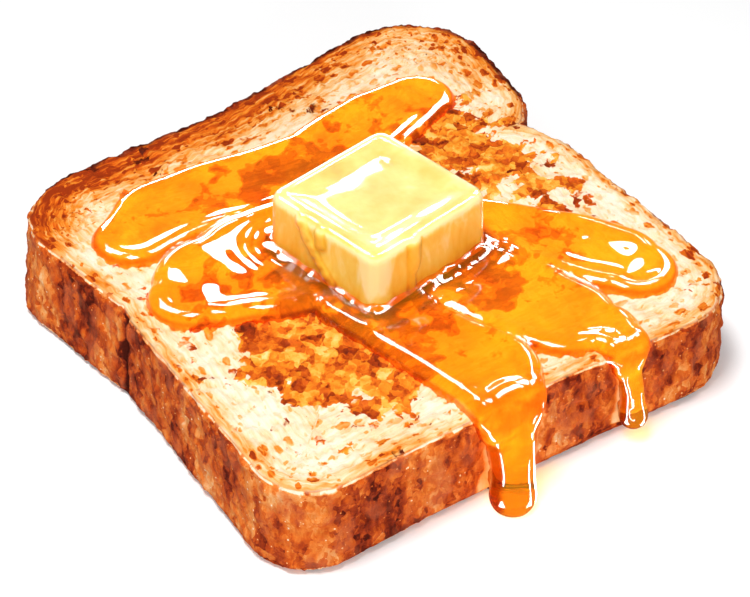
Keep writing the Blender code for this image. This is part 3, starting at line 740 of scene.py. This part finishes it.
class Nodes:
    """A material's node tree, built in a few words."""

    def __init__(self, name):
        self.material = bpy.data.materials.new(name)
        self.material.use_nodes = True
        self.tree = self.material.node_tree
        self.shader = self.tree.nodes["Principled BSDF"]
        self.output = self.tree.nodes["Material Output"]

    def add(self, kind, settings=None, **inputs):
        """A node, its settings, and its inputs, by name or _number, as values or as other nodes' outputs."""
        node = self.tree.nodes.new("ShaderNode" + kind)
        for key, value in (settings or {}).items():
            setattr(node, key, value)
        for key, value in inputs.items():
            self.set(node.inputs[int(key[1:]) if key[0] == "_" else key.replace("_", " ")], value)
        return node

    def set(self, socket, value):
        """Links or sets one input."""
        if isinstance(value, bpy.types.NodeSocket):
            self.tree.links.new(value, socket)
        else:
            socket.default_value = value

    def shade(self, **inputs):
        """Links or sets inputs of the shader."""
        for key, value in inputs.items():
            self.set(self.shader.inputs[key.replace("_", " ")], value)

    def math(self, operation, first, *others):
        """A number, with each of the others put to it in turn."""
        for other in others:
            first = self.add("Math", {"operation": operation}, _0=first, _1=other).outputs[0]
        return first

    def scaled(self, value, amount, base):
        """The base with an amount of the value added."""
        return self.add("Math", {"operation": "MULTIPLY_ADD"}, _0=value, _1=amount, _2=base).outputs[0]

    def varied(self, base, texture, amount, centre=0.5):
        """The base, raised and lowered by a texture that varies about its centre."""
        return self.scaled(self.math("SUBTRACT", texture, centre), amount, base)

    def blended(self, base, textures, amounts):
        """The base, varied by each named texture in turn."""
        for name, amount in amounts.items():
            base = self.varied(base, textures[name], amount)
        return base

    def attribute(self, name, output="Fac"):
        """What the mesh records under this name."""
        return self.add("Attribute", {"attribute_name": name}).outputs[output]

    def noise(self, vector, scale, detail=2.0, roughness=0.5, distortion=0.0, output="Fac"):
        """Smooth noise from 0 to 1."""
        settings = {"Scale": scale, "Detail": detail, "Roughness": roughness, "Distortion": distortion}
        return self.add("TexNoise", None, Vector=vector, **settings).outputs[output]

    def ramp(self, value, stops):
        """The colour at this value, from stops with sRGB colours."""
        node = self.add("ValToRGB", None, Fac=value)
        elements = node.color_ramp.elements
        while len(elements) < len(stops):
            elements.new(0.5)
        for element, (position, colour) in zip(elements, stops):
            element.position, element.color = position, linear(colour)
        return node.outputs["Color"]

    def remap(self, value, low, high, new_low=0.0, new_high=1.0):
        """The value moved from one range to another, and kept in it."""
        ranges = {"From_Min": low, "From_Max": high, "To_Min": new_low, "To_Max": new_high}
        return self.add("MapRange", None, Value=value, **ranges).outputs["Result"]

    def vector_math(self, operation, first, second):
        """One sum with two vectors."""
        return self.add("VectorMath", {"operation": operation}, _0=first, _1=second).outputs[0]

    def warp(self, vector, scale, reach):
        """The vector pushed about by noise."""
        noise = self.noise(vector, scale, 1.0, output="Color")
        centred = self.vector_math("SUBTRACT", noise, (0.5, 0.5, 0.5))
        return self.vector_math("ADD", vector, self.vector_math("MULTIPLY", centred, (2.0 * reach,) * 3))

    def cells(self, vector):
        """(two random numbers for each cell of a mosaic, the distance from the cell's centre)."""
        mosaic = self.add("TexVoronoi", {"feature": "F1"}, Vector=vector, Scale=1.0)
        random = self.add("SeparateColor", None, Color=mosaic.outputs["Color"])
        return random.outputs[0], random.outputs[1], mosaic.outputs["Distance"]

    def spots(self, vector, radius, share):
        """(1 in round spots of up to this radius in a share of cells, a random number for each)."""
        chance, other, distance = self.cells(vector)
        size = self.remap(chance, 1.0 - share, 1.0, SMALLEST_SPOT * radius, radius)
        chosen = self.math("GREATER_THAN", chance, 1.0 - share)
        inside = self.remap(self.math("SUBTRACT", size, distance), 0.0, SPOT_SOFTNESS)
        return self.math("MULTIPLY", inside, chosen), other

    def mix(self, share, first, second):
        """Numbers mixed by share."""
        return self.add("Mix", {"data_type": "FLOAT"}, _0=share, _2=first, _3=second).outputs[0]

    def mix_colour(self, share, first, second):
        """Colours mixed by share."""
        return self.add("Mix", {"data_type": "RGBA"}, _0=share, _6=first, _7=second).outputs[2]


def bread_textures(n):
    """What the bread's colours are mixed from, by name: the mesh's attributes, noises, spots and mosaics."""
    flow, place = n.attribute("flow", "Vector"), n.attribute("place", "Vector")
    found = {name: n.attribute(name) for name in BREAD_ATTRIBUTES}

    def vector(name, scale, reach, squeeze):
        return n.vector_math("MULTIPLY", n.warp(place if name in IN_PLACE else flow, scale, reach), squeeze)

    for name, settings in CLOUDS.items():
        found[name] = n.noise(place, *settings)
    for name, (*lie, detail, roughness) in STROKES.items():
        found[name] = n.noise(vector(name, *lie), 1.0, detail, roughness)
    for name, (*lie, radius, share, least, spread) in SPOTS.items():
        spots, random = n.spots(vector(name, *lie), radius, share)
        found[name] = n.math("MULTIPLY", spots, n.scaled(random, spread, least))
    for name, lie in MOSAICS.items():
        found[name], found[name + "_again"], _ = n.cells(vector(name, *lie))
    return found


def crumb_level(n, t):
    """How far the open crumb is toasted: flecks and thin strokes that lie along the crust."""
    level = n.varied(t["rim"], t["streaks"], n.scaled(t["rim"], STREAKS_AT_RIM, STREAKS), 0.42)
    level = n.math("MAXIMUM", n.varied(level, t["clouds"], 0.34, 0.40), PALEST_CRUMB)
    level = n.varied(level, t["fine"], 0.06)
    level = n.scaled(t["far_fleck"], t["flecked"], level)
    flecks = n.math("ADD", t["fleck"], t["small_fleck"])
    level = n.scaled(flecks, n.scaled(t["rim"], FLECKS_AT_RIM, FLECKS), level)
    # The pores are darker: partly toasted rims, partly painted shade.
    return n.math("MINIMUM", n.scaled(t["pore"], PORE_TOAST_AND_SHADE, level), DARKEST_CRUMB)


def patch_colour(n, t):
    """(where the crumb is toasted in patches, its colour there): golden cells with ragged edges."""
    in_patch = n.remap(n.blended(t["toasting"], t, RAGGED_MIX), *PATCH_EDGE)
    level = n.scaled(t["toasting"], 0.20, n.blended(PATCH_MIDDLE, t, PATCH_MIX))
    level = n.math("ADD", level, t["speck"], t["rim"])
    # The pores are darker here too: partly toasted rims, partly painted shade.
    level = n.scaled(t["pore"], PORE_TOAST_AND_SHADE_IN_PATCH, level)
    return in_patch, n.ramp(level, PATCH_LEVELS)


def wet_colour(n, t):
    """The crumb that honey has soaked: golden, with brown clouds, and dark by the butter with painted shade.
    """
    cloudy = n.blended(t["toasting"], t, CLOUDY_MIX)
    level = n.mix(n.remap(cloudy, 0.28, 0.36), 0.24, 0.52)
    level = n.math("ADD", level, n.mix(n.remap(cloudy, 0.44, 0.48), 0.0, 0.18))
    level = n.math("ADD", n.blended(level, t, WET_MIX), t["rim"])
    return n.ramp(n.math("MINIMUM", level, 1.0), WET_LEVELS)


def crust_colour(n, t):
    """The crust: mottled brown, drawn out down the side, with pale specks, and darker along the bottom."""
    level = n.blended(CRUST_MIDDLE, t, CRUST_MIX)
    # Darker towards the bottom of the crust.
    level = n.scaled(n.remap(t["height"], *FOOT), FOOT_DARKENING, level)
    # Darker in the creases where the crown's lobes meet the body: painted shade.
    level = n.scaled(t["crease"], CREASE_SHADE, level)
    # The dots are pale specks, partly painted glints.
    level = n.math("ADD", level, t["tone"], t["blob"], t["dot"])
    far_rim = n.math("MULTIPLY", t["far"], n.remap(t["height"], 0.6, 0.92, 0.3, 1.0))
    level = n.scaled(far_rim, n.scaled(t["strokes"], 0.5, 0.14), level)
    # A thin dashed pale line along the top edge of the crust, not on the far side: a painted highlight.
    line = n.math("MULTIPLY", n.remap(t["inset"], 0.40, 0.52), n.remap(t["inset"], 0.85, 0.70))
    line = n.math("MULTIPLY", line, n.remap(t["dashes"], 0.40, 0.46), n.math("SUBTRACT", 1.0, t["far"]))
    level = n.math("MINIMUM", n.scaled(line, RIM_HIGHLIGHT, level), DARKEST_CRUST)
    # Under the honey the crust is paler: a painted glow of light through the honey.
    return n.ramp(n.mix(t["soaked"], level, n.varied(CRUST_GLOW_UNDER_HONEY, t["strokes"], 0.40)), CRUST_LEVELS)


def bread_material():
    """Crumb from cream to golden brown, with darker flecks and pores, and a streaked brown crust."""
    n = Nodes("toasted_bread")
    t = bread_textures(n)
    in_patch, patched = patch_colour(n, t)
    colour = n.mix_colour(in_patch, n.ramp(crumb_level(n, t), LEVELS), patched)
    colour = n.mix_colour(t["soaked"], colour, wet_colour(n, t))
    colour = n.mix_colour(t["side"], colour, crust_colour(n, t))
    dry = n.math("SUBTRACT", 1.0, t["soaked"])
    dusty = n.math("MULTIPLY", n.remap(t["dust"], 0.52, 0.66), t["side"], dry, DUST)
    colour = n.mix_colour(dusty, colour, linear(DUST_COLOUR))
    oily = n.math("MULTIPLY", in_patch, n.remap(t["small_cell_again"], 0.3, 0.8))
    relief = n.math("ADD", n.math("MULTIPLY", t["bumps"], 0.5), n.math("MULTIPLY", t["fine"], 0.3))
    bump = n.add("Bump", None, Strength=0.55, Distance=0.0006, Height=relief)
    n.shade(
        Base_Color=colour, Roughness=n.mix(t["side"], n.mix(oily, 0.8, 0.55), 0.55), Specular_IOR_Level=0.08,
        Subsurface_Weight=0.06, Subsurface_Radius=(0.001, 0.0006, 0.0003), Subsurface_Scale=1.0,
        Normal=bump.outputs["Normal"],
    )
    return n.material


def honey_material():
    """Clear amber honey, a little cloudy, whose colour comes from its skin and its depth."""
    n = Nodes("clear_honey")
    swirl = n.remap(n.noise(n.attribute("place", "Vector"), 0.07, 2.0, 0.5, 0.5), 0.38, 0.62)
    body = n.mix_colour(swirl, HONEY_DARK, HONEY_LIGHT)
    # The drips are paler: a painted glow.
    body = n.mix_colour(n.attribute("drip"), body, HONEY_DRIP_GLOW)
    # Dark at the edges: painted shade.
    n.shade(Base_Color=n.mix_colour(n.attribute("edge"), body, HONEY_EDGE_SHADE))
    n.shade(Roughness=0.02, IOR=1.48, Transmission_Weight=0.82)
    shadow_ray = n.add("LightPath").outputs["Is Shadow Ray"]
    clear = n.add("BsdfTransparent", None, Color=(1.0, 1.0, 1.0, 1.0))
    mixed = n.add("MixShader", None, _0=shadow_ray, _1=n.shader.outputs["BSDF"], _2=clear.outputs["BSDF"])
    volume = n.add("VolumeAbsorption", None, Color=HONEY_DEPTH_COLOUR, Density=HONEY_DENSITY)
    n.set(n.output.inputs["Surface"], mixed.outputs["Shader"])
    n.set(n.output.inputs["Volume"], volume.outputs["Volume"])
    return n.material


def butter_material():
    """Pale yellow butter, soft and a little see-through, golden where melted butter and honey run down it."""
    n = Nodes("soft_butter")
    place, melt = n.attribute("place", "Vector"), n.attribute("melt")
    top = n.varied(0.32, n.noise(place, 0.09, 3.0, 0.55), 1.3)
    strokes = n.noise(n.warp(n.vector_math("MULTIPLY", place, (0.22, 0.22, 0.09)), 1.0, 0.5), 1.0, 3.0, 0.6)
    sides = n.varied(n.scaled(n.math("POWER", melt, 5.0), 0.50, 0.20), strokes, 0.9)
    sides = n.scaled(n.attribute("trickle"), 0.20, sides)
    sides = n.scaled(n.attribute("outline"), 0.22, sides)
    level = n.mix(n.remap(melt, 0.0, 0.25), top, sides)
    # Paler at the rim: painted highlight.
    level = n.scaled(n.attribute("rim"), -0.34, level)
    bump = n.add("Bump", None, Strength=0.15, Distance=0.0004, Height=n.noise(place, 0.7, 2.0))
    n.shade(
        Base_Color=n.ramp(level, BUTTER_LEVELS), Roughness=0.55, Specular_IOR_Level=0.2, Coat_Weight=0.9,
        Coat_Roughness=0.05, Subsurface_Weight=0.35, Subsurface_Radius=(0.003, 0.002, 0.0008),
        Subsurface_Scale=1.0, Normal=bump.outputs["Normal"],
    )
    return n.material


# ---------------- floor, lights and camera


def make_floor():
    """A plain pale floor."""
    data = bpy.data.meshes.new("floor")
    corners = [(x * FLOOR_REACH, y * FLOOR_REACH, 0) for x, y in ((-1, -1), (1, -1), (1, 1), (-1, 1))]
    data.from_pydata(corners, [], [(0, 1, 2, 3)])
    floor = add_object("floor", data)
    n = Nodes("pale_floor")
    n.shade(
        Base_Color=(0.9, 0.9, 0.9, 1.0), Emission_Color=(1.0, 1.0, 1.0, 1.0), Emission_Strength=FLOOR_GLOW,
        Roughness=0.9, Specular_IOR_Level=0.1,
    )
    data.materials.append(n.material)
    floor.visible_glossy = False


def add_light(name, place, target, size, power):
    """An area light at a place (mm), aimed at a target (mm)."""
    data = bpy.data.lights.new(name, "AREA")
    data.shape, data.size, data.size_y = "RECTANGLE", size[0] * MM, size[1] * MM
    data.energy = power
    light = add_object(name, data)
    light.location = Vector(place) * MM
    light.rotation_euler = (Vector(target) - Vector(place)).to_track_quat("-Z", "Y").to_euler()
    return light


def add_highlight(name, place, size, radiance, shiny):
    """A soft box at a place (mm), aimed at the toast, that is only mirrored, and only in the shiny pieces."""
    light = add_light(name, place, (0, 0, 10), size, radiance * math.pi * size[0] * size[1] * MM**2)
    light.visible_camera = light.visible_diffuse = light.visible_transmission = False
    light.visible_volume_scatter = False
    light.light_linking.receiver_collection = shiny
    return light


def add_box(name, direction, size, shiny):
    """A far soft box, in this direction from the toast."""
    add_highlight(name, Vector(direction).normalized() * BOX_REACH, size, BOX_RADIANCE, shiny)


def add_window(name, spot, size, turn, shiny, shape="ELLIPSE"):
    """A near soft box, placed where the camera sees it mirrored in a level surface at the spot (mm)."""
    spot = Vector(spot) + Vector(SHIFT)
    seen = (spot - Vector(CAMERA_PLACE)).normalized()
    mirrored = Vector((seen.x, seen.y, -seen.z))
    light = add_highlight(name, spot + mirrored * WINDOW_REACH, size, BOX_RADIANCE, shiny)
    light.data.shape = shape
    facing = (-mirrored).to_track_quat("-Z", "Y") @ Quaternion((0.0, 0.0, 1.0), math.radians(turn))
    light.rotation_euler = facing.to_euler()


def add_floor_strip(name, place, azimuth, size, shiny):
    """A strip of light flat on the floor, facing up, that upright honey mirrors as a stroke."""
    light = add_highlight(name, place, size, STRIP_RADIANCE, shiny)
    light.rotation_euler = (math.pi, 0.0, math.radians(azimuth))


def light_room():
    """An even white room, dimmer in mirrors than it is as light."""
    world = bpy.data.worlds.new("studio")
    world.use_nodes = True
    nodes, links = world.node_tree.nodes, world.node_tree.links
    strength = nodes.new("ShaderNodeMath")
    strength.operation = "MULTIPLY_ADD"
    strength.inputs[1].default_value, strength.inputs[2].default_value = MIRRORED_WORLD - WORLD, WORLD
    links.new(nodes.new("ShaderNodeLightPath").outputs["Is Glossy Ray"], strength.inputs[0])
    links.new(strength.outputs[0], nodes["Background"].inputs["Strength"])
    nodes["Background"].inputs["Color"].default_value = (1.0, 1.0, 1.0, 1.0)
    bpy.context.scene.world = world


def light_scene(pieces):
    """A bright, even room with soft boxes that put long highlights on the honey and the butter."""
    light_room()
    add_light("key", (-140, -40, 620), (0, 0, 0), (170, 170), 3.2)
    fill = add_light("fill", (-160, -560, 220), (0, 0, 10), (300, 120), 1.2)
    fill.visible_glossy = False
    shiny = bpy.data.collections.new("shiny")
    for piece in pieces:
        shiny.objects.link(piece)
    add_box("near_lips", (0.42, 0.08, 0.90), (190, 240), shiny)
    add_box("left_lips", (-0.24, 0.50, 0.83), (280, 280), shiny)
    add_box("right_lips", (0.73, 0.31, 0.61), (250, 250), shiny)
    add_window("pool_window", (-30.0, 15.0, THICKNESS + 2.0), (11, 14), 0, shiny)
    add_window("butter_window", (-4.0, 9.6, THICKNESS + BUTTER_HEIGHT - 1.0), (23, 8), 24, shiny, "RECTANGLE")
    add_window("right_window", (44.5, -27.5, THICKNESS + 2.0), (16, 5), -19, shiny)
    add_box("far_lips", (0.36, 0.90, 0.26), (460, 200), shiny)
    for (x, y, _, radius), *_ in DRIPS:
        x, y = x + SHIFT[0], y + SHIFT[1]
        left = (x - 0.86 * radius - 16, y - 0.52 * radius - 1, 0.5)
        right = (x + 0.2 * radius + 12, y - 0.98 * radius - 9, 0.5)
        add_floor_strip("left_stroke", left, 185, (25, 4), shiny)
        add_floor_strip("right_stroke", right, -34, (25, 3), shiny)


def make_camera():
    """The camera, above the slice's near left corner."""
    data = bpy.data.cameras.new("camera")
    data.lens, data.sensor_width = CAMERA_LENS, CAMERA_SENSOR
    data.clip_start, data.clip_end = 0.01, 20.0
    camera = add_object("camera", data)
    place, target = Vector(CAMERA_PLACE) * MM, Vector(CAMERA_TARGET) * MM
    camera.location = place
    camera.rotation_euler = (target - place).to_track_quat("-Z", "Y").to_euler()
    bpy.context.scene.camera = camera


def dress(piece, node, material):
    """A piece takes a CAD node's place and a material."""
    piece.data.materials.clear()
    piece.data.materials.append(material)
    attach(piece, "root")
    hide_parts(node)


bpy.context.scene.view_settings.view_transform = "Standard"
make_floor()
make_camera()
bread, butter, honey = make_bread(), make_butter(), make_honey()
dress(bread, "toast_slice", bread_material())
dress(butter, "butter_pat", butter_material())
dress(honey, "honey", honey_material())
light_scene([butter, honey])
